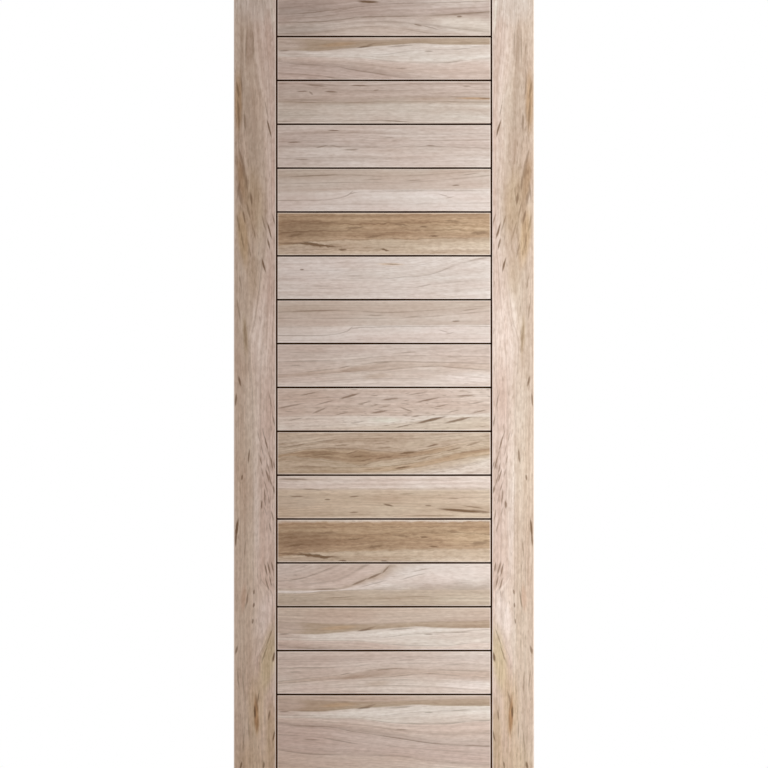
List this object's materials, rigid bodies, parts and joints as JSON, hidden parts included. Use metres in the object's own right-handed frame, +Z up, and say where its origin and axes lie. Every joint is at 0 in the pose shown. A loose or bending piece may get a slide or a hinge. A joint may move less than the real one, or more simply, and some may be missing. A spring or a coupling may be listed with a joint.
{
  "type": "wooden door leaf",
  "caption": "Flush door leaf of solid wood with level planks between two tall stiles and a deep bottom rail, parted by narrow dark grooves on both faces.",
  "frame": {"origin": "foot of the hinge edge, in the middle of the door's thickness", "axes": "+X from the hinge edge to the lock edge, +Y from the front face to the back face, +Z up"},
  "size_m": [0.9144, 0.0444, 2.4384],
  "materials": {
    "stile_maple": "sanded, unfinished",
    "rail_maple": "sanded, unfinished",
    "sapwood_plank": "sanded, unfinished",
    "heartwood_plank": "sanded, unfinished",
    "dark_spline": "stained near black"
  },
  "bodies": {
    "root": {"hinge_stile": "stile_maple", "lock_stile": "stile_maple", "top_rail": "rail_maple", "bottom_rail": "rail_maple", "plank_01": "sapwood_plank", "plank_02": "sapwood_plank", "plank_03": "sapwood_plank", "plank_04": "sapwood_plank", "plank_05": "heartwood_plank", "plank_06": "sapwood_plank", "plank_07": "sapwood_plank", "plank_08": "sapwood_plank", "plank_09": "sapwood_plank", "plank_10": "heartwood_plank", "plank_11": "sapwood_plank", "plank_12": "heartwood_plank", "plank_13": "sapwood_plank", "plank_14": "sapwood_plank", "plank_15": "sapwood_plank", "spline_01": "dark_spline", "spline_02": "dark_spline", "spline_03": "dark_spline", "spline_04": "dark_spline", "spline_05": "dark_spline", "spline_06": "dark_spline", "spline_07": "dark_spline", "spline_08": "dark_spline", "spline_09": "dark_spline", "spline_10": "dark_spline", "spline_11": "dark_spline", "spline_12": "dark_spline", "spline_13": "dark_spline", "spline_14": "dark_spline", "spline_15": "dark_spline", "spline_16": "dark_spline"}
  },
  "joints": []
}
